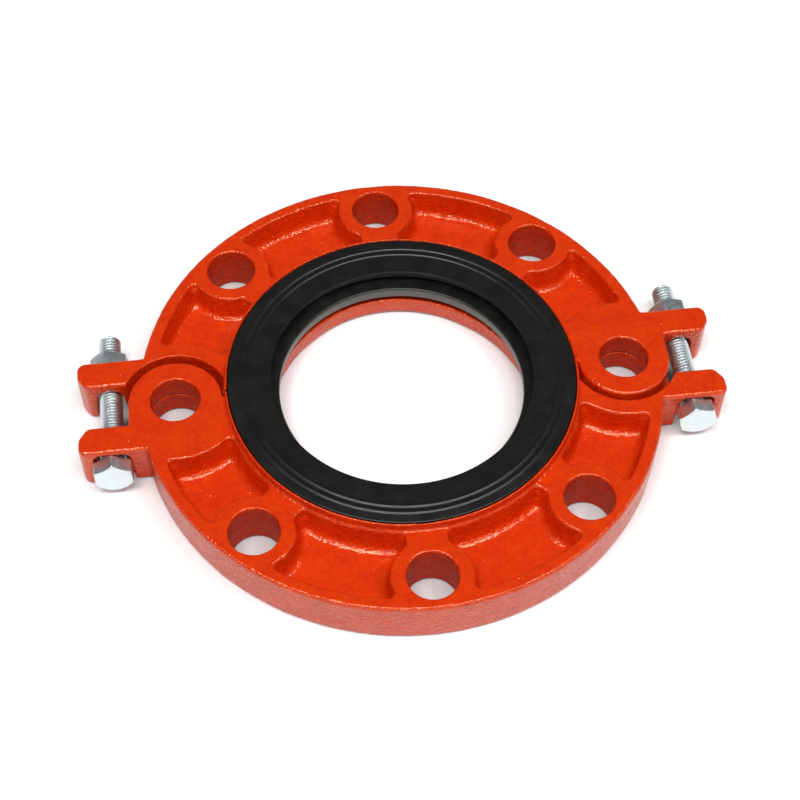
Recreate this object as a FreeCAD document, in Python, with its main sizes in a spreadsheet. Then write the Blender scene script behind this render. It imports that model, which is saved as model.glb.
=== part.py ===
import FreeCAD, Part
import math
import os
import re
import Sketcher

# Flange adaptor for grooved pipe: two identical half castings, a gasket in the recess of
# their faces, and two draw bolts with nuts at the sides. All sizes are in millimetres.
# The origin is on the pipe's axis at the mating face. +Z points to the mating flange and
# the X axis runs through the two holes where the halves lap over each other.

os.makedirs("parts", exist_ok=True)
doc = FreeCAD.newDocument("flange_adaptor")

SIZES = {
    # The pipe, and the bolting of the mating flange
    "pipe_radius": 44.45,
    "bolt_circle": 160.0,
    "stud_hole": 17.5,
    "stud_count": 8,
    # Half casting
    "flange_margin": 12.5,
    "flange_depth": 18.3,
    "edge_round": 1.2,
    "hole_edge_round": 0.4,
    "parting_gap": 0.8,
    # Raised rim round the gasket
    "rim_height": 3.0,
    "rim_crest": 0.7,
    "rim_foot": 1.1,
    "rim_ledge": 0.8,
    "rim_round": 0.35,
    # Seat of the gasket and the key below it, which grips the pipe's groove
    "seat_clearance": 0.3,
    "seat_depth": 10.8,
    "seat_taper": 2.0,
    "key_bite": 0.7,
    "key_relief": 2.35,
    "key_relief_shift": 3.9,
    "key_chamfer": 1.2,
    # Laps at the two side holes: one half's tongue lies over the other's
    "lap_land": 7.75,
    "lap_gap": 2.5,
    "lap_clearance": 0.5,
    "lap_wall": 0.4,
    "lap_wall_clearance": 0.2,
    # Weight-saving pockets in the mating face
    "pocket_wall": 4.5,
    "pocket_depth": 10.0,
    "pocket_draft": 0.12,
    "boss_land": 5.25,
    "lap_web": 6.0,
    "web_width": 14.0,
    "pocket_corner": 1.8,
    "pocket_floor_round": 1.2,
    "pocket_edge_round": 0.7,
    # Lugs that carry the draw bolts
    "lug_outside": 11.0,
    "lug_root": 6.5,
    "lug_near": 8.5,
    "lug_thickness": 11.1,
    "lug_chamfer_across": 3.0,
    "lug_chamfer_along": 4.5,
    "lug_corner": 3.0,
    "lug_round": 1.2,
    # Draw bolts, their slots and the arches round their heads
    "draw_bolt_offset": 10.5,
    "slot_clearance": 0.6,
    "slot_headroom": 1.65,
    "slot_flare": 1.1,
    "arch_tuck": 0.8,
    "arch_headroom": 0.65,
    "arch_corner": 3.2,
    "arch_flare": 0.9,
    "arch_depth": 2.5,
    "thread_diameter": 8.0,
    "bolt_length": 55.0,
    "bolt_point": 1.0,
    "hexagon": 13.0,
    "crown_share": 0.49,
    "head_height": 5.3,
    "nut_height": 6.5,
    "nut_clearance": 0.06,
    "left_head_turn": 30.0,
    "right_head_turn": 14.0,
    "left_nut_turn": 22.0,
    "right_nut_turn": 8.0,
    # Gasket section, outside and top
    "gasket_width": 16.95,
    "gasket_sink": 0.1,
    "gasket_shoulder_drop": 0.3,
    "gasket_mouth": 1.85,
    "gasket_mouth_height": 2.3,
    "gasket_inner_round": 0.6,
    "ridge_first_inset": 6.6,
    "ridge_second_inset": 4.1,
    "ridge_height": 0.45,
    "ridge_foot": 1.5,
    "ridge_crest": 0.5,
    # Gasket section, the lip that closes on the pipe and the groove above it
    "lip_squeeze": 1.05,
    "lip_level": -4.3,
    "lip_face": 0.7,
    "lip_nose_rise": 1.3,
    "lip_nose_run": 0.9,
    "groove_run": 5.55,
    "groove_level": -1.3,
    "groove_height": 0.9,
    "skirt_run": 0.45,
    "skirt_rise": 1.1,
}

# Sizes that follow from the ones above
DERIVED = {
    "flange_radius": "bolt_circle / 2 + flange_margin",
    "gasket_radius": "pipe_radius + gasket_width",
    "seat_radius": "gasket_radius + seat_clearance",
    "key_radius": "pipe_radius - key_bite",
    "relief_radius": "pipe_radius + key_relief",
    "rim_outside": "seat_radius + rim_foot",
    "pocket_inner": "rim_outside + rim_ledge",
    "pocket_outer": "flange_radius - pocket_wall",
    "lap_boss_radius": "stud_hole / 2 + lap_land",
    "lap_recess_radius": "lap_boss_radius + lap_gap",
    "boss_radius": "stud_hole / 2 + boss_land",
    "lap_boundary": "lap_recess_radius + lap_web",
    "draw_bolt_x": "flange_radius + draw_bolt_offset",
    "draw_bolt_level": "-flange_depth / 2",
    "lug_reach": "draw_bolt_x + lug_outside",
    "lug_inside": "flange_radius - lug_root",
    "lug_far": "lug_near + lug_thickness",
    "slot_radius": "thread_diameter / 2 + slot_clearance",
    "slot_crown": "draw_bolt_level + thread_diameter / 2 + slot_headroom",
    "arch_width": "hexagon - arch_tuck",
    "arch_crown": "draw_bolt_level + hexagon / 2 + arch_headroom",
    "gasket_top": "rim_height - gasket_sink",
    "gasket_bottom": "seat_clearance - seat_depth",
    "mouth_radius": "pipe_radius + gasket_mouth",
    "mouth_level": "gasket_top - gasket_mouth_height",
    "lip_radius": "pipe_radius - lip_squeeze",
    "groove_radius": "pipe_radius + groove_run",
    "skirt_radius": "pipe_radius + skirt_run",
}

sheet = doc.addObject("Spreadsheet::Sheet", "Sizes")
cells = [(alias, str(value)) for alias, value in SIZES.items()]
cells += [(alias, "=" + formula) for alias, formula in DERIVED.items()]
for row, (alias, content) in enumerate(cells, start=1):
    sheet.set("A%d" % row, alias.replace("_", " "))
    sheet.set("B%d" % row, content)
    sheet.setAlias("B%d" % row, alias)
doc.recompute()

ALIASES = re.compile("|".join(sorted(list(SIZES) + list(DERIVED), key=len, reverse=True)))
HALF_COUNT = int(sheet.stud_count) // 2
STUD_STEP = 360 / sheet.stud_count
UP = FreeCAD.Vector(0, 0, 1)
ALONG_X = FreeCAD.Vector(1, 0, 0)


def size(alias):
    """The value of one cell of the sheet."""
    return float(getattr(sheet, alias))


def spell(text):
    """Turn the bare aliases of a formula into the sheet's names."""
    return ALIASES.sub(lambda found: "Sizes." + found.group(), text)


def bind(piece, **formulas):
    """Tie properties of a piece to formulas in the sheet's aliases; x, y and z are its place."""
    for name, formula in formulas.items():
        path = "Placement.Base." + name if name in ("x", "y", "z") else name
        piece.setExpression(path, spell(str(formula)))
    return piece


def turned(piece, *turns):
    """Give a piece its rotation: a list of (axis, degrees), the last applied first."""
    rotation = FreeCAD.Rotation()
    for axis, angle in turns:
        rotation = rotation.multiply(FreeCAD.Rotation(axis, angle))
    piece.Placement = FreeCAD.Placement(FreeCAD.Vector(), rotation)
    return piece


def cylinder(name, radius, height, x=0, y=0, z=0, turns=()):
    piece = turned(doc.addObject("Part::Cylinder", name), *turns)
    return bind(piece, Radius=radius, Height=height, x=x, y=y, z=z)


def cone(name, low_radius, high_radius, height, x=0, y=0, z=0, turns=()):
    piece = turned(doc.addObject("Part::Cone", name), *turns)
    return bind(piece, Radius1=low_radius, Radius2=high_radius, Height=height, x=x, y=y, z=z)


def box(name, x, y, z, length, width, height):
    piece = doc.addObject("Part::Box", name)
    return bind(piece, Length=length, Width=width, Height=height, x=x, y=y, z=z)


def flared(name, low_width, high_width, depth, height, x=0, y=0, z=0, turns=()):
    """A bar that stands on its low face, centred on x, running from y to y + depth."""
    piece = doc.addObject("Part::Wedge", name)
    turned(piece, *turns, (ALONG_X, 90))
    bind(piece, Xmin="-(%s) / 2" % low_width, Xmax="(%s) / 2" % low_width)
    bind(piece, X2min="-(%s) / 2" % high_width, X2max="(%s) / 2" % high_width)
    bind(piece, Zmin="-(%s)" % depth, Zmax="0", Z2min="-(%s)" % depth, Z2max="0")
    bind(piece, Ymin="0", Ymax=height)
    return bind(piece, x=x, y=y, z=z)


def fused(name, *pieces):
    piece = doc.addObject("Part::MultiFuse", name)
    piece.Shapes = list(pieces)
    piece.Refine = True
    return piece


def cut(name, base, *tools):
    piece = doc.addObject("Part::Cut", name)
    piece.Base = base
    if len(tools) > 1:
        piece.Tool = fused(name + "_tools", *tools)
    else:
        piece.Tool = tools[0]
    piece.Refine = True
    return piece


def shared(name, first, second):
    piece = doc.addObject("Part::MultiCommon", name)
    piece.Shapes = [first, second]
    piece.Refine = True
    return piece


def middle(edge):
    """The point half way along an edge."""
    return edge.valueAt((edge.FirstParameter + edge.LastParameter) / 2)


def picked(shape, wanted):
    """The numbers of the edges for which wanted(edge) is true."""
    return [number for number, edge in enumerate(shape.Edges, start=1) if wanted(edge)]


def rounded(name, base, *rounds):
    """Round edges of a piece: each round is a radius and the test that its edges pass."""
    doc.recompute()
    piece = doc.addObject("Part::Fillet", name)
    piece.Base = base
    edges = []
    for radius, wanted in rounds:
        edges += [(number, radius, radius) for number in picked(base.Shape, wanted)]
    piece.Edges = edges
    return piece


def is_flat(edge, level):
    """Whether the whole edge lies at one level."""
    bounds = edge.BoundBox
    return abs(bounds.ZMin - level) < 0.01 and abs(bounds.ZMax - level) < 0.01


def is_upright(edge):
    """Whether the edge climbs most of the way that it is long."""
    return edge.BoundBox.ZLength > 0.9 * edge.Length


def from_axis(point):
    """A point's distance from the pipe's axis."""
    return math.hypot(point.x, point.y)


def stud_angle(place):
    """The direction of a stud hole of the front half, from the left lap to the right one."""
    return place * STUD_STEP - 180


def at_lap(place):
    """Whether a stud hole lies in a lap of the two halves."""
    return place in (0, HALF_COUNT)


def on_bolt_circle(place):
    """Formulas for the centre of a stud hole."""
    angle = stud_angle(place)
    return "bolt_circle / 2 * cos(%r)" % angle, "bolt_circle / 2 * sin(%r)" % angle


# Half casting

def make_ring():
    """The half ring with its raised rim, from the far front to the parting line."""
    blank = cylinder("ring_blank", "flange_radius", "flange_depth", z="-flange_depth")
    disc = rounded("ring_disc", blank, (size("edge_round"), lambda edge: not is_upright(edge)))
    rim = cone("rim_blank", "rim_outside", "seat_radius + rim_crest", "rim_height")
    crest = size("rim_height")
    rim_disc = rounded("rim_disc", rim, (size("rim_round"), lambda edge: is_flat(edge, crest)))
    front = box("front_side", "-2 * flange_radius", "-2 * flange_radius",
                "-flange_depth - 1", "4 * flange_radius",
                "2 * flange_radius - parting_gap / 2", "flange_depth + rim_height + 2")
    return shared("half_ring", fused("ring_with_rim", disc, rim_disc), front)


def make_lug(name, side):
    """One lug: a block whose outer corner at the parting side is cut off."""
    block = box(name + "_block", "lug_inside" if side > 0 else "-lug_reach", "-lug_far",
                "-flange_depth", "lug_reach - lug_inside", "lug_thickness", "flange_depth")
    outer_x = side * size("lug_reach")
    near_y = -size("lug_near")

    def is_parting_corner(edge):
        point = middle(edge)
        return is_upright(edge) and abs(point.x - outer_x) < 0.01 and abs(point.y - near_y) < 0.01

    doc.recompute()
    bevelled = doc.addObject("Part::Chamfer", name + "_bevelled")
    bevelled.Base = block
    corner = picked(block.Shape, is_parting_corner)[0]
    across = size("lug_chamfer_across")
    along = size("lug_chamfer_along")
    # Which of the two faces takes the first length isn't known beforehand, so the longer
    # one is tried there, and the two are swapped if it came out on the other face.
    bevelled.Edges = [(corner, across, along)]
    doc.recompute()
    cut_end = max(vertex.Y for vertex in bevelled.Shape.Vertexes
                  if abs(vertex.X - outer_x) < 0.01)
    if abs(cut_end - (near_y - along)) > 0.01:
        bevelled.Edges = [(corner, along, across)]
    inner_x = side * size("lug_inside")

    def is_outside(edge):
        return abs(middle(edge).x - inner_x) > 0.01

    return rounded(name, bevelled,
                   (size("lug_corner"), lambda edge: is_outside(edge) and is_upright(edge)),
                   (size("lug_round"), lambda edge: is_outside(edge) and not is_upright(edge)))


def make_tongue(name, side):
    """A lap tongue: a round boss with a straight outer side that runs into the lug.

    The left tongue is the upper half of the flange's depth and the right one the lower half.
    Its inner side stays clear of the other half's wall round the gasket.
    """
    centre = "%d * bolt_circle / 2" % side
    height = "(flange_depth - lap_clearance) / 2"
    bottom = "-flange_depth" if side > 0 else "-(flange_depth - lap_clearance) / 2"
    boss = cylinder(name + "_boss", "lap_boss_radius", height, x=centre, z=bottom)
    near_x = centre if side > 0 else centre + " - lap_boss_radius"
    shoulder = box(name + "_shoulder", near_x, "-lug_near - 1", bottom,
                   "lap_boss_radius", "lug_near + 1", height)
    level = -size("flange_depth") if side > 0 else 0.0
    whole = rounded(name + "_rounded", fused(name + "_blank", boss, shoulder),
                    (size("edge_round"), lambda edge: is_flat(edge, level)))
    inside = cylinder(name + "_inside", "rim_outside + lap_wall + lap_wall_clearance",
                      "2 * flange_depth", z="-1.5 * flange_depth")
    return cut(name, whole, inside)


def make_lap_recess(name, side):
    """The room for the other half's tongue: above on the right, below on the left."""
    height = "(flange_depth + lap_clearance) / 2 + 1"
    bottom = "-(flange_depth + lap_clearance) / 2" if side > 0 else "-flange_depth - 1"
    centre = "%d * bolt_circle / 2" % side
    round_room = cylinder(name + "_room", "lap_recess_radius", height, x=centre, z=bottom)
    kept_wall = cylinder(name + "_wall", "rim_outside + lap_wall", height, z=bottom)
    return cut(name, round_room, kept_wall)


def make_pockets():
    """The four pockets of a half: an annular groove, parted by bosses, webs and the laps."""
    top = "pocket_depth + 0.5"
    fall = "pocket_depth * pocket_draft"
    rise = "0.5 * pocket_draft"
    outer = cone("groove_outer", "pocket_outer - " + fall, "pocket_outer + " + rise, top,
                 z="-pocket_depth")
    inner = cone("groove_inner", "pocket_inner + " + fall, "pocket_inner - " + rise, top,
                 z="-pocket_depth")
    front = box("groove_side", "-2 * flange_radius", "-2 * flange_radius", "-flange_depth",
                "4 * flange_radius", "2 * flange_radius - 1", "2 * flange_depth")
    solids = [inner]
    for place in range(HALF_COUNT + 1):
        x, y = on_bolt_circle(place)
        radius = "lap_boundary" if at_lap(place) else "boss_radius"
        angle = stud_angle(place)
        solids.append(cone("pocket_boss_%d" % place, radius + " + " + fall,
                           radius + " - " + rise, top, x=x, y=y, z="-pocket_depth",
                           turns=[(UP, angle)]))
        if not at_lap(place):
            solids.append(flared("web_%d" % place, "web_width + 2 * " + fall,
                                 "web_width - 2 * " + rise, "bolt_circle / 2", top,
                                 z="-pocket_depth", turns=[(UP, angle - 90)]))
    grooves = cut("pocket_blanks", shared("front_groove", outer, front), *solids)
    floor = -size("pocket_depth")
    corners = rounded("pocket_corners", grooves, (size("pocket_corner"), is_upright))
    return rounded("pockets", corners,
                   (size("pocket_floor_round"), lambda edge: is_flat(edge, floor)))


def make_slot(name, side):
    """The open slot of a draw bolt: a round crown and sides that flare to the underside."""
    x = "%d * draw_bolt_x" % side
    run = "lug_thickness + 2"
    crown = cylinder(name + "_crown", "slot_radius", run, x=x, y="-lug_far - 1",
                     z="slot_crown - slot_radius", turns=[(ALONG_X, -90)])
    legs = flared(name + "_legs", "2 * (slot_radius + slot_flare)", "2 * slot_radius", run,
                  "flange_depth + slot_crown - slot_radius + 1", x=x, y="-lug_far - 1",
                  z="-flange_depth - 1")
    return fused(name, crown, legs)


def make_arch(name, side):
    """The shallow arched recess in a lug's outer face, round the head or the nut."""
    x = "%d * draw_bolt_x" % side
    blank = flared(name + "_blank", "arch_width + 2 * arch_flare", "arch_width",
                   "arch_depth + 1", "flange_depth + arch_crown + 1", x=x, y="-lug_far - 1",
                   z="-flange_depth - 1")
    crown = size("arch_crown")
    return rounded(name, blank,
                   (size("arch_corner"),
                    lambda edge: is_flat(edge, crown) and edge.BoundBox.XLength < 0.01))


def make_bores():
    """The tapered seat of the gasket, and the key's bore with its relief at the parting."""
    under = "-flange_depth"
    lead = "key_chamfer + 1"
    return [
        cone("seat_tool", "seat_radius - seat_taper", "seat_radius", "seat_depth",
             z="-seat_depth"),
        cylinder("seat_mouth", "seat_radius", "rim_height + 1"),
        cylinder("key_bore", "key_radius", "flange_depth", z=under),
        cone("key_bore_chamfer", "key_radius + " + lead, "key_radius", lead, z=under + " - 1"),
        cylinder("key_relief_bore", "relief_radius", "flange_depth", y="key_relief_shift",
                 z=under),
        cone("key_relief_chamfer", "relief_radius + " + lead, "relief_radius", lead,
             y="key_relief_shift", z=under + " - 1"),
    ]


def nearest_stud(point):
    """The stud hole of the half that a point is nearest to, and how far away its axis is."""
    reach = size("bolt_circle") / 2
    found = []
    for place in range(HALF_COUNT + 1):
        angle = math.radians(stud_angle(place))
        away = math.hypot(point.x - reach * math.cos(angle), point.y - reach * math.sin(angle))
        found.append((away, place))
    away, place = min(found)
    return place, away


def is_hole_edge(edge):
    """Whether an edge is the rim of a stud hole in the upper or the lower face."""
    point = middle(edge)
    flat = is_flat(edge, 0.0) or is_flat(edge, -size("flange_depth"))
    return flat and abs(nearest_stud(point)[1] - size("stud_hole") / 2) < 0.01


def is_pocket_mouth(edge):
    """Whether an edge of the mating face bounds a pocket."""
    point = middle(edge)
    if not is_flat(edge, 0.0) or point.y > -size("parting_gap"):
        return False
    if not size("pocket_inner") - 0.05 < from_axis(point) < size("pocket_outer") + 0.05:
        return False
    place, away = nearest_stud(point)
    boundary = size("lap_boundary") if at_lap(place) else size("boss_radius")
    return away > boundary - 0.1


def make_casting():
    """One half of the housing; the other half is the same casting turned half round."""
    recesses = [make_lap_recess("lap_recess_left", -1), make_lap_recess("lap_recess_right", 1)]
    body = cut("ring_and_lugs",
               fused("ring_and_lug_blanks", make_ring(), make_lug("lug_left", -1),
                     make_lug("lug_right", 1)),
               *recesses)
    whole = fused("with_tongues", body, make_tongue("tongue_left", -1),
                  make_tongue("tongue_right", 1))
    tools = make_bores()
    for place in range(HALF_COUNT + 1):
        x, y = on_bolt_circle(place)
        tools.append(cylinder("stud_hole_%d" % place, "stud_hole / 2", "flange_depth + 2",
                              x=x, y=y, z="-flange_depth - 1",
                              turns=[(UP, stud_angle(place))]))
    for name, side in (("left", -1), ("right", 1)):
        tools.append(make_slot("slot_" + name, side))
        tools.append(make_arch("arch_" + name, side))
    rough = cut("rough_casting", cut("bored_casting", whole, *tools), make_pockets())
    return rounded("casting", rough,
                   (size("pocket_edge_round"), is_pocket_mouth),
                   (size("hole_edge_round"), is_hole_edge))


def make_half(name, angle):
    """A housing half: the casting in its place round the pipe."""
    body = doc.addObject("PartDesign::Body", name)
    body.BaseFeature = casting
    body.Placement = FreeCAD.Placement(FreeCAD.Vector(), FreeCAD.Rotation(UP, angle))
    return body


# Gasket

def make_gasket():
    """The rubber ring: a section drawn point by point and turned about the pipe's axis."""
    ridge_top = "gasket_top + ridge_height"
    section = [("mouth_radius", "mouth_level"), ("mouth_radius", "gasket_top")]
    for inset in ("ridge_first_inset", "ridge_second_inset"):
        ridge = "gasket_radius - " + inset
        section += [(ridge + " - ridge_foot / 2", "gasket_top"),
                    (ridge + " - ridge_crest / 2", ridge_top),
                    (ridge + " + ridge_crest / 2", ridge_top),
                    (ridge + " + ridge_foot / 2", "gasket_top")]
    section += [
        ("gasket_radius", "gasket_top - gasket_shoulder_drop"),
        ("gasket_radius", "0"),
        ("gasket_radius - seat_taper", "gasket_bottom"),
        ("skirt_radius + skirt_rise", "gasket_bottom"),
        ("skirt_radius", "gasket_bottom + skirt_rise"),
        ("lip_radius", "lip_level - lip_face / 2"),
        ("lip_radius", "lip_level + lip_face / 2"),
        ("lip_radius + lip_nose_run", "lip_level + lip_nose_rise"),
        ("groove_radius", "groove_level - groove_height / 2"),
        ("groove_radius", "groove_level + groove_height / 2"),
    ]
    body = doc.addObject("PartDesign::Body", "gasket")
    sketch = body.newObject("Sketcher::SketchObject", "gasket_section")
    plane = [item for item in body.Origin.OriginFeatures if item.Role == "XZ_Plane"][0]
    sketch.AttachmentSupport = [(plane, "")]
    sketch.MapMode = "FlatFace"
    points = [(work_out(across), work_out(up)) for across, up in section]
    draw_outline(sketch, points)
    for index, (across, up) in enumerate(section):
        for kind, formula, value in (("DistanceX", across, points[index][0]),
                                     ("DistanceY", up, points[index][1])):
            number = sketch.addConstraint(Sketcher.Constraint(kind, -1, 1, index, 1, value))
            label = "%s_%d" % (kind.lower(), index)
            sketch.renameConstraint(number, label)
            sketch.setExpression("Constraints." + label, spell(formula))
    turn = body.newObject("PartDesign::Revolution", "gasket_ring")
    turn.Profile = sketch
    turn.ReferenceAxis = (sketch, ["V_Axis"])
    turn.Angle = 360
    doc.recompute()
    inner = size("mouth_radius")
    top = size("gasket_top")

    def is_inner_corner(edge):
        point = middle(edge)
        return is_flat(edge, top) and abs(from_axis(point) - inner) < 0.01

    names = ["Edge%d" % number for number in picked(turn.Shape, is_inner_corner)]
    corner = body.newObject("PartDesign::Fillet", "gasket_inner_corner")
    corner.Base = (turn, names)
    corner.setExpression("Radius", spell("gasket_inner_round"))
    body.Tip = corner
    return body


def work_out(formula):
    """The value of a formula, for the first drawing of a sketch."""
    reckoner = doc.addObject("App::FeaturePython", "Reckoner")
    reckoner.addProperty("App::PropertyFloat", "Result")
    reckoner.setExpression("Result", spell(formula))
    reckoner.recompute()
    value = reckoner.Result
    doc.removeObject(reckoner.Name)
    return value


def draw_outline(sketch, points):
    """A closed outline of straight lines whose ends coincide."""
    count = len(points)
    for index, (across, up) in enumerate(points):
        after = points[(index + 1) % count]
        start = FreeCAD.Vector(across, up, 0)
        end = FreeCAD.Vector(after[0], after[1], 0)
        sketch.addGeometry(Part.LineSegment(start, end), False)
    for index in range(count):
        sketch.addConstraint(Sketcher.Constraint("Coincident", index, 2, (index + 1) % count, 1))


# Draw bolts and nuts

def hexagon_bar(name, height, x, y, turn):
    """A hexagon prism that lies along +Y, turned about its own axis."""
    piece = turned(doc.addObject("Part::Prism", name), (ALONG_X, -90), (UP, turn))
    piece.Polygon = 6
    return bind(piece, Circumradius="hexagon / sqrt(3)", Height=height, x=x, y=y,
                z="draw_bolt_level")


def crown_cone(name, height, x, y, to_back):
    """The 30 degree cone that takes the corners off one end of a hexagon."""
    small = "crown_share * hexagon"
    large = "crown_share * hexagon + (%s) * sqrt(3)" % height
    low, high = (large, small) if to_back else (small, large)
    return cone(name, low, high, height, x=x, y=y, z="draw_bolt_level",
                turns=[(ALONG_X, -90)])


def make_draw_bolt(name, side, turn):
    """A hexagon screw whose head bears on the front half's lug; its thread has no ridges."""
    x = "%d * draw_bolt_x" % side
    front = "-lug_far - head_height"
    bar = hexagon_bar(name + "_hexagon", "head_height", x, front, turn)
    head = shared(name + "_head", bar,
                  crown_cone(name + "_crown", "head_height", x, front, False))
    shank = cylinder(name + "_shank", "thread_diameter / 2", "bolt_length - bolt_point",
                     x=x, y="-lug_far", z="draw_bolt_level", turns=[(ALONG_X, -90)])
    point = cone(name + "_point", "thread_diameter / 2", "thread_diameter / 2 - bolt_point",
                 "bolt_point", x=x, y="-lug_far + bolt_length - bolt_point",
                 z="draw_bolt_level", turns=[(ALONG_X, -90)])
    return fused(name, head, shank, point)


def make_nut(name, side, turn):
    """A hexagon nut that bears on the rear half's lug, both ends crowned."""
    x = "%d * draw_bolt_x" % side
    bar = hexagon_bar(name + "_hexagon", "nut_height", x, "lug_far", turn)
    back = shared(name + "_back", bar,
                  crown_cone(name + "_back_crown", "nut_height", x, "lug_far", True))
    both = shared(name + "_both", back,
                  crown_cone(name + "_front_crown", "nut_height", x, "lug_far", False))
    bore = cylinder(name + "_bore", "thread_diameter / 2 + nut_clearance",
                    "nut_height + 2", x=x, y="lug_far - 1", z="draw_bolt_level",
                    turns=[(ALONG_X, -90)])
    return cut(name, both, bore)


casting = make_casting()
nodes = {
    "front_half": make_half("front_half", 0),
    "rear_half": make_half("rear_half", 180),
    "gasket": make_gasket(),
    "left_draw_bolt": make_draw_bolt("left_draw_bolt", -1, size("left_head_turn")),
    "right_draw_bolt": make_draw_bolt("right_draw_bolt", 1, size("right_head_turn")),
    "left_nut": make_nut("left_nut", -1, size("left_nut_turn")),
    "right_nut": make_nut("right_nut", 1, size("right_nut_turn")),
}
for label, node in nodes.items():
    node.Label = label
doc.recompute()

faults = []
for item in doc.Objects:
    if "Invalid" in item.State or "Error" in item.State:
        faults.append(item.Name)
for label, node in nodes.items():
    if node.Shape.isNull() or not node.Shape.isValid() or len(node.Shape.Solids) != 1:
        faults.append(label)
if faults:
    raise RuntimeError("failed: " + ", ".join(faults))

for label, node in nodes.items():
    node.Shape.exportStep("parts/%s.step" % label)
    bounds = node.Shape.BoundBox
    print(label, "volume %.0f" % node.Shape.Volume,
          "x %.1f to %.1f" % (bounds.XMin, bounds.XMax),
          "y %.1f to %.1f" % (bounds.YMin, bounds.YMax),
          "z %.1f to %.1f" % (bounds.ZMin, bounds.ZMax))
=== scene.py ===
# %% [markdown]
# Flange adaptor for grooved pipe
#
# The real object is two painted iron castings that close round a pipe, a rubber gasket in
# their face and two plated draw bolts with nuts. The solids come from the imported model, in
# metres, and stay where they are. This script dresses them: it gives each surface the
# finish that its maker gave it, and it builds the pieces whose charm lies in fine shape,
# such as screw threads, as surfaces worked out with numpy.

# %% Load the fixed frame
import math

import bmesh
import bpy
import numpy as np
from mathutils import Matrix, Vector


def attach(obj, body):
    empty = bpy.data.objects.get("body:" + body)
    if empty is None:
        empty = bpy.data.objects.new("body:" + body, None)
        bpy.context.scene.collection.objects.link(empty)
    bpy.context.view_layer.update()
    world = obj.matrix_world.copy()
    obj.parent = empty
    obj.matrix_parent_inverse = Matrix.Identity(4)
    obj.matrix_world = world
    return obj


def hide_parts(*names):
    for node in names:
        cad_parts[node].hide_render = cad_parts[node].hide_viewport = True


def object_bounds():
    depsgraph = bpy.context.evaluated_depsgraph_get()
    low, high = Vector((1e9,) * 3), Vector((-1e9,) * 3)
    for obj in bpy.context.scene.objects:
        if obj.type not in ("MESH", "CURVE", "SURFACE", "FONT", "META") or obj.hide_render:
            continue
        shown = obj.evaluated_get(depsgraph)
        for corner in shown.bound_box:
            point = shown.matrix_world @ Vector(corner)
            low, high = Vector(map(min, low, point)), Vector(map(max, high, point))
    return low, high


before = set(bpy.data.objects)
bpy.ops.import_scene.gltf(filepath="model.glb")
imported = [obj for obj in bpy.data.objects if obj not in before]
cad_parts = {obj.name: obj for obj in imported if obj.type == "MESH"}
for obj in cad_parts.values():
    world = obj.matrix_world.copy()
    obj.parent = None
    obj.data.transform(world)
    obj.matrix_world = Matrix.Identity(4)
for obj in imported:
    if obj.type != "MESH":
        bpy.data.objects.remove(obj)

MM = 0.001
CAD_BOX = [list(corner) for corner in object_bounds()]
print("the solids span, in mm:", [[round(c / MM, 1) for c in corner] for corner in CAD_BOX])

# %% [markdown]
# The camera
#
# The photograph was taken from the front, a little to the left, looking down by more than
# half a right angle. A camera could be moved by eye until the picture fits. Here the eight
# stud holes lie on a circle of known size, so the angles, the distance and the focal length
# were worked out from where their centres show. A small roll stays in the camera.

# %% Camera at the photograph's viewing angle
AIM = Vector((-1.42, -6.31, -4.56)) * MM
AZIMUTH = math.radians(-8.21)
ELEVATION = math.radians(54.73)
ROLL = math.radians(1.17)
DISTANCE = 575.6 * MM
FOCAL_PIXELS = 1627.4
FRAME_PIXELS = 800
SENSOR_WIDTH = 36.0
NEAREST = 10 * MM


def make_camera():
    """Aim a camera by azimuth and elevation, then roll it about its own line of sight."""
    level = math.cos(ELEVATION)
    back = Vector((math.sin(AZIMUTH) * level, -math.cos(AZIMUTH) * level, math.sin(ELEVATION)))
    right = Vector((math.cos(AZIMUTH), math.sin(AZIMUTH), 0))
    up = back.cross(right)
    across = right * math.cos(ROLL) + up * math.sin(ROLL)
    upward = up * math.cos(ROLL) - right * math.sin(ROLL)
    data = bpy.data.cameras.new("camera")
    data.sensor_width = SENSOR_WIDTH
    data.lens = FOCAL_PIXELS / FRAME_PIXELS * SENSOR_WIDTH
    data.clip_start = NEAREST
    camera = bpy.data.objects.new("camera", data)
    turn = Matrix((across, upward, back)).transposed().to_4x4()
    camera.matrix_world = Matrix.Translation(AIM + back * DISTANCE) @ turn
    bpy.context.scene.collection.objects.link(camera)
    print("camera", round(DISTANCE / MM), "mm away, focal length", round(data.lens, 1), "mm")
    return camera


bpy.context.scene.camera = make_camera()
bpy.context.scene.view_settings.view_transform = "Standard"

# %% [markdown]
# Colours and shader nodes
#
# A colour is written as the sRGB hex value that the eye sees, and one function turns it to
# the linear light that the renderer works in. A finish could be wired by hand in the shader
# editor. Here one function adds a node, sets it, wires it up and hands back the output that
# the next step needs, so that a finish reads as a short list.

# %% Helpers for finishes


def linear(code):
    """sRGB hex to linear: below 0.04045 divide by 12.92, above it the 2.4 power curve."""
    values = [int(code[start:start + 2], 16) / 255 for start in (1, 3, 5)]
    return [v / 12.92 if v <= 0.04045 else ((v + 0.055) / 1.055) ** 2.4 for v in values] + [1]


def add(tree, kind, sockets=(), result=None, **settings):
    """Add a node and return it, or its output called result.

    Settings are the node's own properties. Sockets are values or links for its inputs, by
    name or, without names, in the node's own order. A Map Range node takes the value, the
    range that it comes from and the range that it goes to, in this order.
    """
    node = tree.nodes.new(kind)
    for name, value in settings.items():
        setattr(node, name, value)
    for name, value in sockets.items() if isinstance(sockets, dict) else enumerate(sockets):
        if isinstance(value, bpy.types.NodeSocket):
            tree.links.new(value, node.inputs[name])
        else:
            node.inputs[name].default_value = value
    return node if result is None else node.outputs[result]


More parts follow.
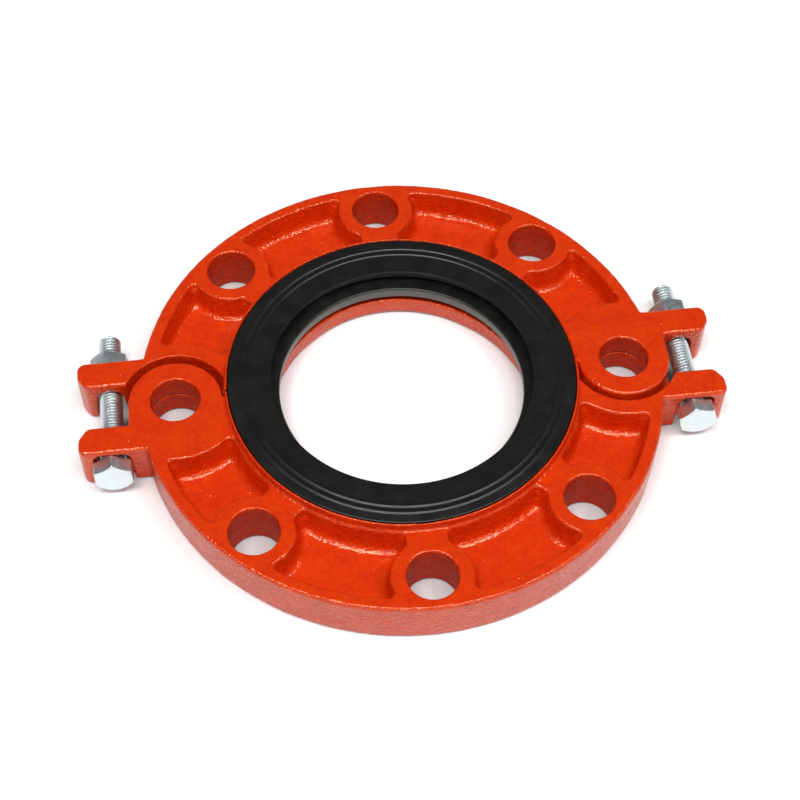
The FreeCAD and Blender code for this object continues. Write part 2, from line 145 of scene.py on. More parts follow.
def new_finish(name):
    """An empty material, its tree, its output and its object coordinates."""
    material = bpy.data.materials.new(name)
    material.use_nodes = True
    tree = material.node_tree
    tree.nodes.clear()
    output = add(tree, "ShaderNodeOutputMaterial")
    place = add(tree, "ShaderNodeTexCoord", result="Object")
    return material, tree, output, place


def finished(material, tree, output, shader):
    """Close a finish: its shader goes to its output."""
    tree.links.new(shader, output.inputs["Surface"])
    print("finish", material.name, "with", len(tree.nodes), "nodes")
    return material


def distance_from_axis(tree, place):
    """How far a place lies from the pipe's axis: the length of its x and y, in metres."""
    level = add(tree, "ShaderNodeVectorMath", (place, (1, 1, 0)), "Vector",
                operation="MULTIPLY")
    return add(tree, "ShaderNodeVectorMath", (level,), "Value", operation="LENGTH")


# %% [markdown]
# Gloss paint over cast iron
#
# The halves are cast in sand and sprayed in an orange-red gloss enamel. The paint lies
# smooth, but the sand shows through it, so the gloss breaks up into sparks on every rounded
# edge. A photograph of paint could be laid on the castings, but it would bring its own light
# along. Bumps in the sizes of the real sand do better: grains of about a millimetre, lumps
# of twice that and a few pinholes. Where a face lies level the paint flows out flat, and on
# the outer wall the mould leaves the most grain. The enamel's resin is a little yellow, so
# what it mirrors is tinted too: under a colourless gloss the red would turn pink.

# %% Finish of the castings
SAND = 0.95 * MM
LUMPS = 1.9 * MM
PINHOLES = 1.5 * MM
CLOUDS = 7.0 * MM
LUMP_DEPTH = 0.38 * MM
SAND_DEPTH = 0.32 * MM
WALL_DEPTH = 0.45 * MM
PINHOLE_DEPTH = 0.16 * MM
PINHOLE_RANGE = (0.69, 0.78)
OUTER_WALL = 92.5 * MM
WALL_MARGIN = 1.1 * MM
LEVEL_TO_STEEP = (0.99, 0.80, 0.18, 1.0)
PAINT = ("#D22C00", "#E13900")
RESIN = "#FFE3B8"
SHADE_RANGE = (0.75, 1.25)
NOISE_RANGE = (0.3, 0.7)
ENAMEL_GLOSS = (0.09, 0.15)


def make_enamel():
    """Gloss enamel on sand-cast iron: deep colour on the flats, sparks on the edges."""
    material, tree, output, place = new_finish("gloss_enamel_on_sand_cast_iron")
    sand, lumps, pinholes, clouds = [
        add(tree, "ShaderNodeTexNoise", {"Vector": place, "Scale": 1 / size}, "Fac")
        for size in (SAND, LUMPS, PINHOLES, CLOUDS)]
    upward = add(tree, "ShaderNodeTexCoord", result="Normal")
    upward = add(tree, "ShaderNodeSeparateXYZ", (upward,), "Z")
    upward = add(tree, "ShaderNodeMath", (upward,), "Value", operation="ABSOLUTE")
    steep = add(tree, "ShaderNodeMapRange", (upward, *LEVEL_TO_STEEP), "Result")
    radius = distance_from_axis(tree, place)
    wall = add(tree, "ShaderNodeMath", (radius, OUTER_WALL, WALL_MARGIN), "Value",
               operation="COMPARE")
    wall = add(tree, "ShaderNodeMath", (wall, steep), "Value", operation="MULTIPLY")
    pinholes = add(tree, "ShaderNodeMapRange", (pinholes, *PINHOLE_RANGE, 1.0, 0.0),
                   "Result")
    bump = None
    # A pattern, its depth and how much of it a place gets
    for height, depth, share in ((lumps, LUMP_DEPTH, steep), (sand, SAND_DEPTH, steep),
                                 (sand, WALL_DEPTH, wall), (pinholes, PINHOLE_DEPTH, 1.0)):
        sockets = {"Height": height, "Distance": depth, "Strength": share}
        if bump is not None:
            sockets["Normal"] = bump
        bump = add(tree, "ShaderNodeBump", sockets, "Normal")
    shade = add(tree, "ShaderNodeMath", (lumps, clouds), "Value", operation="ADD")
    shade = add(tree, "ShaderNodeMapRange", (shade, *SHADE_RANGE, 0.0, 1.0), "Result")
    colour = add(tree, "ShaderNodeMix", {"Factor": shade, "A": linear(PAINT[0]),
                                         "B": linear(PAINT[1])}, "Result", data_type="RGBA")
    gloss = add(tree, "ShaderNodeMapRange", (sand, *NOISE_RANGE, *ENAMEL_GLOSS), "Result")
    shader = add(tree, "ShaderNodeBsdfPrincipled", {
        "Base Color": colour, "Roughness": gloss, "IOR": 1.5, "Specular IOR Level": 0.85,
        "Specular Tint": linear(RESIN), "Normal": bump}, "BSDF")
    return finished(material, tree, output, shader)


ENAMEL = make_enamel()

# %% [markdown]
# Moulded rubber
#
# The gasket is compression-moulded EPDM, black with a faint satin sheen from the polished
# mould, and a bloom that leaves it a little uneven. One plain black would look like a hole
# in the picture, so soft clouds vary the colour and the sheen. The lip's face is painted pale
# grey, a painted reflection of the white floor below it. It is the rubber nearest to the
# pipe's axis, so the distance from the axis finds it.

# %% Finish of the gasket
POLISH = 0.6 * MM
POLISH_DEPTH = 0.02 * MM
BLOOM = 6.0 * MM
BLACKS = ("#0A0B0A", "#131512")
LIP_FLOOR_REFLECTION = "#5C5A55"
RUBBER_SHEEN = (0.30, 0.42)
LIP_FACE = 43.5 * MM
LIP_FACE_END = 43.8 * MM


def make_rubber():
    """Moulded EPDM: satin black with a bloom, and a painted reflection that makes the lip pale
    grey.
    """
    material, tree, output, place = new_finish("moulded_epdm_rubber")
    # The marks of the mould's polish are finer than a pixel, and are drawn coarser to show
    polish = add(tree, "ShaderNodeTexNoise",
                 {"Vector": place, "Scale": 1 / POLISH, "Detail": 3.0}, "Fac")
    bump = add(tree, "ShaderNodeBump", {"Height": polish, "Distance": POLISH_DEPTH,
                                        "Strength": 1.0}, "Normal")
    bloom = add(tree, "ShaderNodeTexNoise", {"Vector": place, "Scale": 1 / BLOOM}, "Fac")
    sheen = add(tree, "ShaderNodeMapRange", (bloom, *NOISE_RANGE, *RUBBER_SHEEN), "Result")
    colour = add(tree, "ShaderNodeMix", {"Factor": bloom, "A": linear(BLACKS[0]),
                                         "B": linear(BLACKS[1])}, "Result", data_type="RGBA")
    radius = distance_from_axis(tree, place)
    # Painted reflection: the lip's face is mixed to pale grey, standing in for the floor it
    # mirrors
    lip = add(tree, "ShaderNodeMapRange", (radius, LIP_FACE, LIP_FACE_END, 1.0, 0.0), "Result")
    colour = add(tree, "ShaderNodeMix", {"Factor": lip, "A": colour,
                                         "B": linear(LIP_FLOOR_REFLECTION)}, "Result", data_type="RGBA")
    shader = add(tree, "ShaderNodeBsdfPrincipled", {
        "Base Color": colour, "Roughness": sheen, "IOR": 1.5, "Normal": bump}, "BSDF")
    return finished(material, tree, output, shader)


RUBBER = make_rubber()

# %% [markdown]
# Bright zinc plate
#
# The draw bolts and nuts are cold-forged steel with a bright electroplated zinc coat: a
# pale, faintly blue metal whose surface is smooth but not polished. The screws are small in
# the picture, so a plain metal would nearly do. Clouds of the size of the knocks that they
# give each other in the plating drum keep the large hexagon faces from looking like paper.

# %% Finish of the bolts and nuts
KNOCKS = 1.5 * MM
KNOCK_DEPTH = 0.012 * MM
ZINC_TINTS = ("#D2DDDF", "#E8F1F2")
ZINC_BLUR = (0.34, 0.46)


def make_zinc():
    """Bright zinc on forged steel: a pale metal, half blurred, with faint clouds."""
    material, tree, output, place = new_finish("bright_zinc_plated_steel")
    knocks = add(tree, "ShaderNodeTexNoise",
                 {"Vector": place, "Scale": 1 / KNOCKS, "Detail": 3.0}, "Fac")
    bump = add(tree, "ShaderNodeBump", {"Height": knocks, "Distance": KNOCK_DEPTH,
                                        "Strength": 1.0}, "Normal")
    blur = add(tree, "ShaderNodeMapRange", (knocks, *NOISE_RANGE, *ZINC_BLUR), "Result")
    tint = add(tree, "ShaderNodeMix", {"Factor": knocks, "A": linear(ZINC_TINTS[0]),
                                       "B": linear(ZINC_TINTS[1])}, "Result", data_type="RGBA")
    shader = add(tree, "ShaderNodeBsdfPrincipled", {
        "Base Color": tint, "Metallic": 1.0, "Roughness": blur, "Normal": bump}, "BSDF")
    return finished(material, tree, output, shader)


ZINC = make_zinc()

# %% [markdown]
# Surfaces from formulas
#
# The gasket and the screws are sheets of points: rows along a section, columns round an
# axis. Two neighbouring rows and two neighbouring columns make a four-sided face. A spun
# curve could make the gasket as well, but a thread needs a radius that changes all the way
# round, and one way then serves both.

# %% Helpers for surfaces
DOUBLES = 0.002 * MM
SLIVERS = 0.001 * MM


def sheet_faces(rows, columns, start=0):
    """Faces between neighbouring rows; the last column joins on to the first."""
    row, column = np.meshgrid(np.arange(rows - 1), np.arange(columns), indexing="ij")
    after = (column + 1) % columns
    corners = [row * columns + column, row * columns + after,
               (row + 1) * columns + after, (row + 1) * columns + column]
    return np.stack(corners, axis=-1).reshape(-1, 4) + start


def mesh_from(name, points, faces, sharp_degrees):
    """A mesh from points and faces: doubles are merged, then all but sharp edges smoothed."""
    mesh = bpy.data.meshes.new(name)
    mesh.from_pydata([tuple(point) for point in points], [], [tuple(face) for face in faces])
    built = bmesh.new()
    built.from_mesh(mesh)
    bmesh.ops.remove_doubles(built, verts=built.verts, dist=DOUBLES)
    bmesh.ops.dissolve_degenerate(built, edges=built.edges, dist=SLIVERS)
    bmesh.ops.recalc_face_normals(built, faces=built.faces)
    for face in built.faces:
        face.smooth = True
    for edge in built.edges:
        edge.smooth = edge.calc_face_angle(0.0) < math.radians(sharp_degrees)
    built.to_mesh(mesh)
    built.free()
    mesh.calc_loop_triangles()
    return mesh


def place_piece(name, mesh, node, body, material):
    """Put a finished mesh in the scene in place of a CAD node."""
    mesh.materials.clear()
    mesh.materials.append(material)
    piece = bpy.data.objects.new(name, mesh)
    bpy.context.scene.collection.objects.link(piece)
    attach(piece, body)
    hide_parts(node)
    print(name, "triangles", len(mesh.loop_triangles), "in place of", node)


# %% [markdown]
# The gasket
#
# A moulded ring is one closed section turned about the pipe's axis. A bevel could round all
# its corners alike, but the mouth is moulded sharp and the back is soft, so each corner of
# the section carries its own reach. The round is a parabola: with the corner C, its start A
# and its end B, a point is (1-t)^2 A + 2t(1-t) C + t^2 B.

# %% Gasket ring
GASKET_SECTION = [
    # radius, height, and how far the round reaches from the corner, all in mm
    (47.2, 0.2, 0.4), (46.3, 2.9, 0.06),
    (54.05, 2.9, 0.35), (54.5, 3.2, 0.25), (55.1, 3.2, 0.25), (55.55, 2.9, 0.35),
    (56.55, 2.9, 0.35), (57.0, 3.2, 0.25), (57.6, 3.2, 0.25), (58.05, 2.9, 0.35),
    (61.4, 2.85, 0.45), (61.4, 0.0, 0.5), (59.4, -10.5, 1.0), (46.2, -10.5, 0.5),
    (45.2, -10.2, 0.6), (43.5, -8.0, 0.6), (43.4, -4.9, 0.25), (44.1, -4.2, 0.3),
    (50.0, -3.8, 0.9), (50.0, -0.7, 0.9),
]
ROUND_STEPS = 6
GASKET_COLUMNS = 288


def rounded_section(corners):
    """Replace each corner of a closed section by a parabola that starts and ends on its sides."""
    points = []
    count = len(corners)
    for index, (across, up, reach) in enumerate(corners):
        corner = np.array((across, up))
        before = np.array(corners[index - 1][:2]) - corner
        after = np.array(corners[(index + 1) % count][:2]) - corner
        start = corner + before / np.linalg.norm(before) * reach
        end = corner + after / np.linalg.norm(after) * reach
        for t in np.linspace(0, 1, ROUND_STEPS + 1):
            points.append((1 - t) ** 2 * start + 2 * t * (1 - t) * corner + t * t * end)
    return np.array(points)


def make_gasket():
    """Turn the section: x = radius cos(angle), y = radius sin(angle), z = height."""
    section = rounded_section(GASKET_SECTION)
    angle = np.linspace(0, 2 * np.pi, GASKET_COLUMNS, endpoint=False)
    radius = section[:, :1]
    points = np.stack([radius * np.cos(angle), radius * np.sin(angle),
                       np.repeat(section[:, 1:], GASKET_COLUMNS, axis=1)], axis=-1)
    points = np.concatenate([points, points[:1]])
    faces = sheet_faces(len(points), GASKET_COLUMNS)
    mesh = mesh_from("gasket_ring", points.reshape(-1, 3) * MM, faces, sharp_degrees=60)
    place_piece("gasket_ring", mesh, "gasket", "front", RUBBER)


make_gasket()

# %% [markdown]
# Screw threads
#
# A metric thread is a ridge wound round a cylinder. It could be a bump on a plain shank, but
# then its outline would be straight, and the outline is what the eye looks for. Seen in a
# section along the axis its profile repeats once in each pitch, and it moves on by one pitch
# in one turn. So the radius at a place is a function of the place along the axis minus pitch
# times angle over a full turn. The rows of points follow the ridge, which keeps its crest
# sharp with few points.

# %% Thread surface
PITCH = 1.25
CREST_RADIUS = 4.0
ROOT_RADIUS = 3.233
CREST_SHARE = 0.125
ROOT_SHARE = 0.167
ROWS_PER_PITCH = 12


def thread_radius(along, angle):
    """The thread's profile: flat crest, straight 60 degree flanks and flat root."""
    phase = (along - PITCH * angle / (2 * np.pi)) / PITCH
    from_crest = np.abs(phase - np.round(phase)) * 2
    flank = (1 - from_crest - ROOT_SHARE) / (1 - ROOT_SHARE - CREST_SHARE)
    return ROOT_RADIUS + (CREST_RADIUS - ROOT_RADIUS) * np.clip(flank, 0, 1)


def thread_sheet(angle, length, start_radius, end_radius, shape):
    """Rows that follow the ridge. Beyond either end they gather on that end's circle."""
    turns = angle / (2 * np.pi)
    rows = np.arange(-ROWS_PER_PITCH, int(length / PITCH * ROWS_PER_PITCH) + 1
                     + ROWS_PER_PITCH)[:, None]
    free = rows * PITCH / ROWS_PER_PITCH + PITCH * turns
    along = np.clip(free, 0, length)
    radius = shape(along, np.broadcast_to(angle, along.shape))
    radius = np.where(free <= 0, start_radius, radius)
    radius = np.where(free >= length, end_radius, radius)
    return along, radius


# %% [markdown]
# Hexagons with a crown
#
# A bolt's head and a nut are hexagons whose corners are turned off by a 30 degree cone,
# called the crown. Where the cone cuts the flat sides it leaves the curved line that makes a
# nut look like a nut. Cutting a prism with a cone would give it as well. Here the radius and
# the depth of each row are worked out for every column, so the edge can be rounded too.

# %% Hexagon surface
HEXAGON = 13.0
CORNER_POWER = 90
CROWN_RADIUS = 0.49 * HEXAGON
CROWN_FALL = math.tan(math.radians(30))
BEVEL = 0.22
BEVEL_ROWS = 5
FACE_EDGE = 0.25
FACE_STEP = 0.03
LEAST_RUN = 0.01
LEAST_DEPTH = 0.035
COLUMN_OFFSETS = (-30, -29, -27, -22, -14, -5, 5, 14, 22, 27, 29)


def column_angles(turn):
    """Angles round the bolt's axis, closer together next to the hexagon's six corners."""
    sectors = np.arange(6)[:, None] * 60 + np.array(COLUMN_OFFSETS)
    return np.radians(sectors.reshape(-1) + turn)


def hexagon_radius(angle, turn):
    """Distance to a hexagon's side. A high power of the cosines rounds the corners a little."""
    sides = np.radians(turn + 60 * np.arange(6))[:, None]
    cosines = np.clip(np.cos(angle[None, :] - sides), 0, 1)
    return HEXAGON / 2 / np.sum(cosines ** CORNER_POWER, axis=0) ** (1 / CORNER_POWER)


def crown_profile(outer, angle):
    """Rows from a hexagon's crowned face down its sides: the crown is a 30 degree cone.

    Each row is a radius and a depth below the face, for every column. The edge between the
    crown and the side is rounded by a parabola, as the corners of the gasket's section are.
    """
    inner = np.full_like(angle, CROWN_RADIUS)
    fall = np.maximum(outer - inner, 0) * CROWN_FALL
    rows = [(inner - FACE_EDGE, np.zeros_like(angle)), (inner, np.full_like(angle, FACE_STEP))]
    for t in np.linspace(0, 1, BEVEL_ROWS):
        radius = (1 - t) ** 2 * (outer - BEVEL) + (1 - (1 - t) ** 2) * outer
        depth = fall + BEVEL * (t * t - (1 - t) ** 2 * CROWN_FALL)
        rows.append((np.maximum(radius, inner + LEAST_RUN), np.maximum(depth, LEAST_DEPTH)))
    return rows


# %% [markdown]
# Draw bolts and nuts
#
# Two hexagon screws pass through the lugs at the sides and pull the halves together. Each
# stands with its head in front and its nut behind, turned as the photograph shows it. The
# nut's thread is worked out at the same places along the bolt, so the two ridges mesh.

# %% Draw bolts and nuts with M8 threads
BOLT_X = 103.0
BOLT_LEVEL = -9.15
LUG_FAR = 19.6
BOLT_LENGTH = 55.0
HEAD_HEIGHT = 5.3
HEAD_CENTRE = 0.9 * CROWN_RADIUS
HEAD_FOOT = 0.15
SHANK_RADIUS = 3.9
POINT_RADIUS = 3.1
NUT_HEIGHT = 6.5
NUT_CLEARANCE = 0.06
NUT_MOUTH = CREST_RADIUS + 0.35


def on_bolt_axis(along, radius, angle, side, start):
    """From along, radius and angle to x, y and z, with the axis of a draw bolt along +Y."""
    x = side * BOLT_X + radius * np.sin(angle)
    z = BOLT_LEVEL + radius * np.cos(angle)
    return np.stack([x, start + along, z], axis=-1) * MM


def make_draw_bolt(side, turn):
    """A crowned hexagon head and a threaded shank with a chamfered point."""
    angle = column_angles(turn)
    outer = hexagon_radius(angle, turn)
    zero = np.zeros_like(angle)
    rows = [(zero, zero), (zero + HEAD_CENTRE, zero)] + crown_profile(outer, angle)
    rows += [(outer, zero + HEAD_HEIGHT - HEAD_FOOT), (outer - HEAD_FOOT, zero + HEAD_HEIGHT),
             (zero, zero + HEAD_HEIGHT)]
    head = np.array([on_bolt_axis(depth, radius, angle, side, -LUG_FAR - HEAD_HEIGHT)
                     for radius, depth in rows])

    def shank_shape(along, around):
        """The thread, cut off at the point by a 45 degree cone."""
        return np.minimum(thread_radius(along, around), POINT_RADIUS + BOLT_LENGTH - along)

    along, radius = thread_sheet(angle, BOLT_LENGTH, SHANK_RADIUS, POINT_RADIUS, shank_shape)
    shank = on_bolt_axis(along, radius, angle, side, -LUG_FAR)
    tip = on_bolt_axis(along[-1:], zero[None, :], angle, side, -LUG_FAR)
    base = on_bolt_axis(along[:1], zero[None, :], angle, side, -LUG_FAR)
    return [head, np.concatenate([base, shank, tip])]


def make_nut(side, turn):
    """A hexagon crowned at both faces, and a bore whose thread matches the bolt's."""
    angle = column_angles(turn)
    crown = crown_profile(hexagon_radius(angle, turn), angle)
    rows = [(np.full_like(angle, NUT_MOUTH), np.zeros_like(angle))] + crown
    rows += [(radius, NUT_HEIGHT - depth) for radius, depth in reversed(crown)]
    outside = np.array([on_bolt_axis(depth, radius, angle, side, LUG_FAR)
                        for radius, depth in rows])

    def bore_shape(along, around):
        """The bolt's thread plus the clearance, opened at both faces by a 45 degree cone."""
        clear = thread_radius(along + 2 * LUG_FAR, around) + NUT_CLEARANCE
        to_face = np.minimum(along, NUT_HEIGHT - along)
        return np.maximum(clear, NUT_MOUTH - to_face)

    along, radius = thread_sheet(angle, NUT_HEIGHT, NUT_MOUTH, NUT_MOUTH, bore_shape)
    bore = on_bolt_axis(along, radius, angle, side, LUG_FAR)[::-1]
    return [np.concatenate([outside, bore, outside[:1]])]


def screw_mesh(name, sheets):
    """Join sheets of points that have the same columns into one mesh."""
    points = []
    faces = []
    start = 0
    for sheet in sheets:
        rows, columns = sheet.shape[:2]
        points.append(sheet.reshape(-1, 3))
        faces.append(sheet_faces(rows, columns, start))
        start += rows * columns
    return mesh_from(name, np.concatenate(points), np.concatenate(faces), sharp_degrees=40)


SCREWS = (
    # node, maker, side of the part, turn of the hexagon in degrees, body
    ("left_draw_bolt", make_draw_bolt, -1, 30, "front"),
    ("right_draw_bolt", make_draw_bolt, 1, 14, "front"),
    ("left_nut", make_nut, -1, 22, "left_nut"),
    ("right_nut", make_nut, 1, 8, "right_nut"),
)
for node, make, side, turn, body in SCREWS:
    mesh = screw_mesh(node + "_threaded", make(side, turn))
    place_piece(node + "_threaded", mesh, node, body, ZINC)

# %% [markdown]
# Cast skin
#
# A sand casting has no true edge and no true plane, and its pockets have generous fillets,
# because sharp sand would crumble. Bevels fail on a shape with so many small faces. So the
# solid is rebuilt from small cubes, which gives points everywhere. Each point is then moved
# towards the mean of its neighbours, a few times on the whole casting and many times in the
# pockets: that rounds every edge, and needs no list of them.

# %% Helpers for meshes


def with_modifiers(name, mesh, steps):
    """The mesh that a list of modifiers, each a kind and its settings, makes of another."""
    carrier = bpy.data.objects.new(name, mesh)
    bpy.context.scene.collection.objects.link(carrier)
    for kind, settings in steps:
        modifier = carrier.modifiers.new(kind.lower(), kind)
        for key, value in settings.items():
            setattr(modifier, key, value)
    graph = bpy.context.evaluated_depsgraph_get()
    made = bpy.data.meshes.new_from_object(carrier.evaluated_get(graph))
    bpy.data.objects.remove(carrier)
    made.name = name
    return made


def read_points(mesh):
    """The places of a mesh's points, one row each."""
    places = np.empty(len(mesh.vertices) * 3)
    mesh.vertices.foreach_get("co", places)
    return places.reshape(-1, 3)


def write_points(mesh, places):
    """Give a mesh's points new places."""
    mesh.vertices.foreach_set("co", places.reshape(-1))
    mesh.update()


# %% Softer edges and pocket fillets
STUDS = 8
STUD_CIRCLE = 80.0
POCKET_DEPTHS = (1.5, 4.0)
POCKET_FLOOR = 12.0
POCKET_INSIDE = 62.6
POCKET_OUTSIDE = 90.0
BOSS_RADIUS = 12.0
LAP_RADIUS = 24.0
EDGE_ROUNDS = 3
FILLET_ROUNDS = 120
HALF_WAY = 0.5


def ramp(value, low, high):
    """The smooth step from 0 at low to 1 at high."""
    t = np.clip((value - low) / (high - low), 0, 1)
    return t * t * (3 - 2 * t)


def evened(places, edges, share, rounds):
    """Move each point by its share towards the mean of its neighbours, several times."""
    ends = np.concatenate([edges, edges[:, ::-1]])
    neighbours = np.bincount(ends[:, 0], minlength=len(places))
    for _ in range(rounds):
        for axis in range(3):
            total = np.bincount(ends[:, 0], places[ends[:, 1], axis], len(places))
            places[:, axis] += share * (total / neighbours - places[:, axis])
    return places


def pocket_share(places):
    """1 deep inside the pockets and 0 elsewhere, away from the bosses and the side laps."""
    x, y, z = places.T / MM
    radius = np.hypot(x, y)
    share = ramp(-z, *POCKET_DEPTHS) * (z > -POCKET_FLOOR)
    share = share * (radius > POCKET_INSIDE) * (radius < POCKET_OUTSIDE)
    for stud in range(STUDS):
        angle = 2 * math.pi * stud / STUDS
        away = np.hypot(x - STUD_CIRCLE * math.cos(angle), y - STUD_CIRCLE * math.sin(angle))
        share *= away > (LAP_RADIUS if stud % 4 == 0 else BOSS_RADIUS)
    return share


# %% [markdown]
# Swells of the casting
#
# Molten iron pushes the sand about, so the finished skin swells and sinks by about a tenth
# of a millimetre. It is value noise: random numbers on a coarse grid, blended between its
# eight nearest places by the smooth step 3t^2 - 2t^3 along each axis. Each point moves along
# its normal by that much. The lugs keep nearly still, because the bolts pass close by them.

# %% Uneven skin
SWELLS = ((7.0, 0.10, 11), (2.6, 0.045, 12))  # size and depth in mm, seed of the draw
LATTICE = 64
STILL_ZONE = 95.0
STILL_SHARE = 0.3


def value_noise(places, cell, seed):
    """Noise from -1 to 1 whose lumps are one cell across."""
    lattice = np.random.default_rng(seed).uniform(-1, 1, (LATTICE,) * 3)
    scaled = places / cell
    low = np.floor(scaled).astype(int)
    t = ramp(scaled - low, 0, 1)
    total = np.zeros(len(places))
    for corner in np.ndindex(2, 2, 2):
        weight = np.prod(np.where(corner, t, 1 - t), axis=1)
        total += weight * lattice[tuple(((low + corner) % LATTICE).T)]
    return total


def roughen(mesh):
    """Soften the edges, most inside the pockets, then push each point along its normal."""
    edges = np.empty(len(mesh.edges) * 2, dtype=np.int32)
    mesh.edges.foreach_get("vertices", edges)
    edges = edges.reshape(-1, 2)
    places = evened(read_points(mesh), edges, HALF_WAY, EDGE_ROUNDS)
    places = evened(places, edges, HALF_WAY * pocket_share(places), FILLET_ROUNDS)
    write_points(mesh, places)
    normals = np.empty(len(places) * 3)
    mesh.vertex_normals.foreach_get("vector", normals)
    push = sum(depth * value_noise(places / MM, cell, seed) for cell, depth, seed in SWELLS)
    push *= np.where(np.abs(places[:, 0]) > STILL_ZONE * MM, STILL_SHARE, 1.0)
    write_points(mesh, places + normals.reshape(-1, 3) * (push * MM)[:, None])


# %% [markdown]
# The two castings
#
# Both halves come from one pattern, so the same steps make both. Cubes of 0.4 mm are small
# enough for the fine edges of the solid, but they leave hundreds of thousands of faces, most
# of them on plain surfaces. Decimate takes those out first, down to a number that other
# programs hold easily.

# %% Castings
CAD_DOUBLES = 0.001 * MM
VOXEL = 0.4 * MM
SKIN_TRIANGLES = 190000


def make_cast_skin(node, body):
    """Remesh a half finely, smooth and roughen it, then thin it out to fewer triangles."""
    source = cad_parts[node].data.copy()
    name = node + "_cast_skin"
    fine = with_modifiers(name + "_fine", source, [
        ("WELD", {"merge_threshold": CAD_DOUBLES}),
        ("REMESH", {"mode": "VOXEL", "voxel_size": VOXEL}),
    ])
    roughen(fine)
    share = SKIN_TRIANGLES / (2 * len(fine.polygons))
    skin = with_modifiers(name, fine, [("DECIMATE", {"ratio": share})])
    skin.polygons.foreach_set("use_smooth", [True] * len(skin.polygons))
    skin.calc_loop_triangles()
    place_piece(name, skin, node, body, ENAMEL)


make_cast_skin("front_half", "front")
make_cast_skin("rear_half", "rear")

# %% [markdown]
# The paper floor
#
# The photograph is a cut-out style picture: a pure white ground with the faintest soft
# shadow. Enough lamps to turn paper pure white would bleach the paint. So the floor has a
# glow of its own that only the camera sees, over plain paper that keeps the real shadow.
# The glow grows with the distance from the part. Ambient Occlusion tells how much open sky a
# place has, and a painted shade comes from it: in the stud holes and the gaps the paper is
# painted greyer, and what the paint mirrors there darker still. Beside the draw bolts two
# small patches of paper carry a painted shadow, where the lugs would shut out the lamps.

# %% Floor
FLOOR_LEVEL = CAD_BOX[0][2] - 0.25 * MM
FLOOR_HALF = 3.0
SKY_REACH = 40 * MM
SKY_SAMPLES = 8
SKY_TO_LIGHT = (0.12, 0.42, 0.45, 0.95)
SKY_TO_MIRRORED = (0.12, 0.50, 0.05, 0.95)
BOLT_GAP = (97 * MM, 0, -FLOOR_LEVEL)
GAP_TO_SHADE = (5 * MM, 9 * MM, 0.15, 1.0)
NEAR_GLOW = (110 * MM, 260 * MM, 0.14, 0.6)
FAR_GLOW = (0.4, 2.0, 0.0, 0.4)
MIRRORED_GLOW = 0.15


def make_paper():
    """White paper with painted shade: reflected light for all, and a glow of its own for the
    camera.
    """
    material, tree, output, place = new_finish("white_paper_floor")
    ray = add(tree, "ShaderNodeLightPath").outputs
    away = add(tree, "ShaderNodeVectorMath", (place,), "Value", operation="LENGTH")
    folded = add(tree, "ShaderNodeVectorMath", (place,), "Vector", operation="ABSOLUTE")
    # Painted shadow: two patches of paper beside the draw bolts are made darker
    beside = add(tree, "ShaderNodeVectorMath", (folded, BOLT_GAP), "Value",
                 operation="DISTANCE")
    gap = add(tree, "ShaderNodeMapRange", (beside, *GAP_TO_SHADE), "Result")
    # Painted shade: the paper is made greyer where little open sky reaches it
    sky = add(tree, "ShaderNodeAmbientOcclusion", {"Distance": SKY_REACH}, "AO",
              samples=SKY_SAMPLES)
    light = add(tree, "ShaderNodeMapRange", (sky, *SKY_TO_LIGHT), "Result")
    mirrored = add(tree, "ShaderNodeMapRange", (sky, *SKY_TO_MIRRORED), "Result")
    shade = add(tree, "ShaderNodeMix", {"Factor": ray["Is Glossy Ray"], "A": light,
                                        "B": mirrored}, "Result", data_type="FLOAT")
    shade = add(tree, "ShaderNodeMath", (shade, gap), "Value", operation="MULTIPLY")
    near = add(tree, "ShaderNodeMapRange", (away, *NEAR_GLOW), "Result")
    far = add(tree, "ShaderNodeMapRange", (away, *FAR_GLOW), "Result")
    seen = add(tree, "ShaderNodeMath", (near, far), "Value", operation="ADD")
    seen = add(tree, "ShaderNodeMath", (seen, gap), "Value", operation="MULTIPLY")
    glow = add(tree, "ShaderNodeMath", (mirrored, ray["Is Glossy Ray"]), "Value",
               operation="MULTIPLY")
    glow = add(tree, "ShaderNodeMath", (glow, MIRRORED_GLOW), "Value", operation="MULTIPLY")
    glow = add(tree, "ShaderNodeMix", {"Factor": ray["Is Camera Ray"], "A": glow, "B": seen},
               "Result", data_type="FLOAT")
    paper = add(tree, "ShaderNodeBsdfDiffuse", {"Color": shade}, "BSDF")
    glow = add(tree, "ShaderNodeEmission", {"Color": (1, 1, 1, 1), "Strength": glow},
               "Emission")
    both = add(tree, "ShaderNodeAddShader", (paper, glow), "Shader")
    return finished(material, tree, output, both)


def make_floor():
    """A square of paper just under the part."""
    mesh = bpy.data.meshes.new("floor")
    corners = [(-FLOOR_HALF, -FLOOR_HALF), (FLOOR_HALF, -FLOOR_HALF),
               (FLOOR_HALF, FLOOR_HALF), (-FLOOR_HALF, FLOOR_HALF)]
    mesh.from_pydata([(x, y, FLOOR_LEVEL) for x, y in corners], [], [(0, 1, 2, 3)])
    mesh.materials.append(make_paper())
    floor = bpy.data.objects.new("floor", mesh)
    bpy.context.scene.collection.objects.link(floor)
    print("floor at", round(FLOOR_LEVEL / MM, 2), "mm")


make_floor()

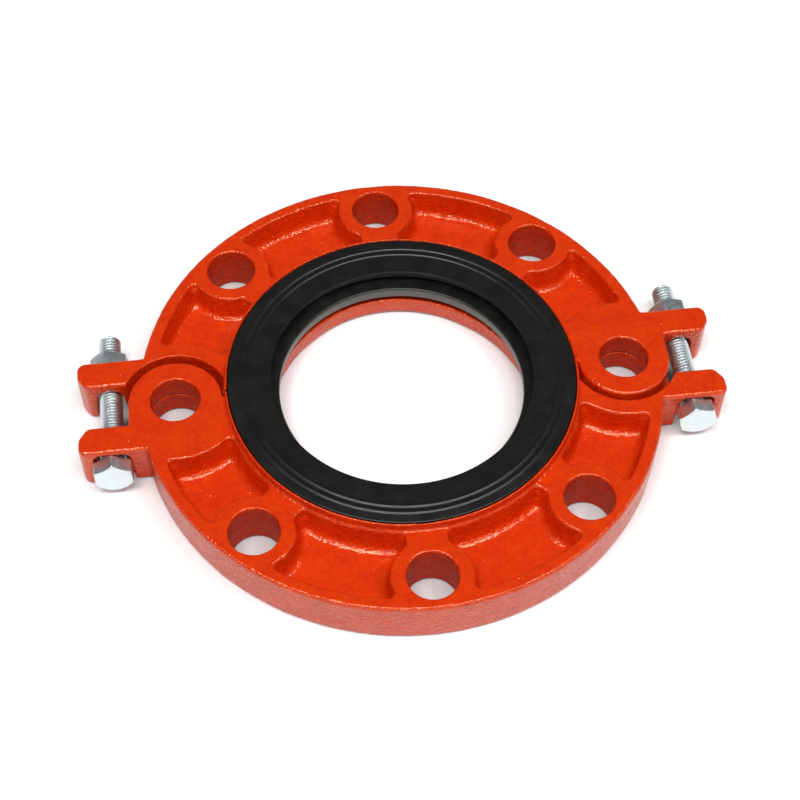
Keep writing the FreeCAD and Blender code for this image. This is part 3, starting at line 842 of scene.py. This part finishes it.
# %% [markdown]
# Room and lamps
#
# To the eye the room behind the part is white. To surfaces it gives a plain pale light. In
# mirrors it is bright in front and dark behind, which is why the level faces keep their deep
# colour and the rubber stays black. The sparks on the rounded edges are the mirrored images
# of lamps. One lamp would light the edges of one side only, so three soft boxes hang in a
# row, in front and high up.

# %% World and lamps
WHITE = 1.0
ROOM_LIGHT = 0.29
ROOM_IN_MIRRORS = (-0.9, 0.1, 0.80, 0.13)
SOFT_BOXES = (
    # name, place and width in metres, power in watts
    ("soft_box_left", (-0.36, -0.33, 1.35), 0.40, 8.0),
    ("soft_box_middle", (0.11, -0.41, 1.35), 0.34, 5.0),
    ("soft_box_right", (0.58, -0.30, 1.30), 0.34, 5.0),
)


def make_world():
    """White to the camera, a plain pale light to surfaces, and a dim room to mirrors."""
    world = bpy.data.worlds.new("studio_room")
    world.use_nodes = True
    tree = world.node_tree
    tree.nodes.clear()
    output = add(tree, "ShaderNodeOutputWorld")
    ray = add(tree, "ShaderNodeLightPath").outputs
    toward = add(tree, "ShaderNodeTexCoord", result="Generated")
    backward = add(tree, "ShaderNodeSeparateXYZ", (toward,), "Y")
    room = add(tree, "ShaderNodeMapRange", (backward, *ROOM_IN_MIRRORS), "Result")
    room = add(tree, "ShaderNodeMix", {"Factor": ray["Is Glossy Ray"], "A": ROOM_LIGHT,
                                       "B": room}, "Result", data_type="FLOAT")
    room = add(tree, "ShaderNodeMix", {"Factor": ray["Is Camera Ray"], "A": room,
                                       "B": WHITE}, "Result", data_type="FLOAT")
    room = add(tree, "ShaderNodeBackground", {"Color": (1, 1, 1, 1), "Strength": room},
               "Background")
    tree.links.new(room, output.inputs["Surface"])
    bpy.context.scene.world = world


def make_lamp(name, place, width, power):
    """A square soft box at a place in metres that points at the middle of the part."""
    data = bpy.data.lights.new(name, "AREA")
    data.size = width
    data.energy = power
    lamp = bpy.data.objects.new(name, data)
    place = Vector(place)
    lamp.matrix_world = (Matrix.Translation(place)
                         @ place.to_track_quat("Z", "Y").to_matrix().to_4x4())
    bpy.context.scene.collection.objects.link(lamp)
    print(name, "of", power, "W")


make_world()
for soft_box in SOFT_BOXES:
    make_lamp(*soft_box)
